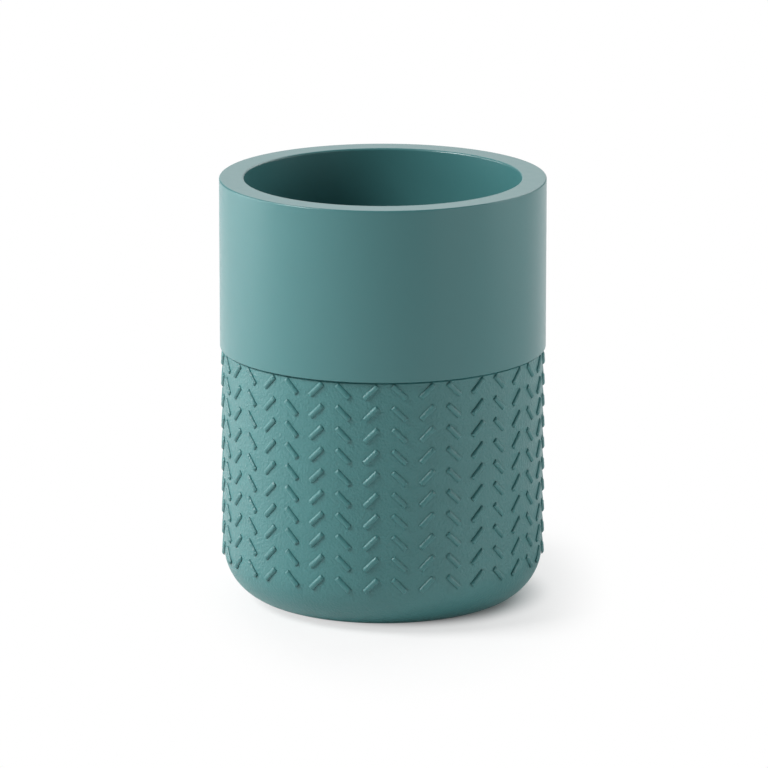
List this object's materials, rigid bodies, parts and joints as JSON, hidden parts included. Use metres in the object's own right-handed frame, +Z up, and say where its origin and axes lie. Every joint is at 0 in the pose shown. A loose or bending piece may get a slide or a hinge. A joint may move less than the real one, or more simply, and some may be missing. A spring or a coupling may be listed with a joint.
{
  "type": "bathroom tumbler",
  "caption": "Round bathroom tumbler with a thick flat rim, a smooth upper band, a lower sleeve with a relief of slanted raised dashes, and a rounded base.",
  "frame": {"origin": "centre of the tumbler's axis on the surface that it stands on", "axes": "+Z up along the tumbler's axis, -Y towards the side that the picture shows"},
  "size_m": [0.076, 0.076, 0.1005],
  "materials": {
    "cup_shell": "smooth satin teal",
    "band_shell": "smooth satin teal",
    "sleeve_shell": "matte teal with a fine pebbled skin",
    "pad": "matte dark grey"
  },
  "bodies": {
    "root": {"inner_cup": "cup_shell", "upper_band": "band_shell", "lower_sleeve": "sleeve_shell", "base_pad": "pad"}
  },
  "joints": []
}
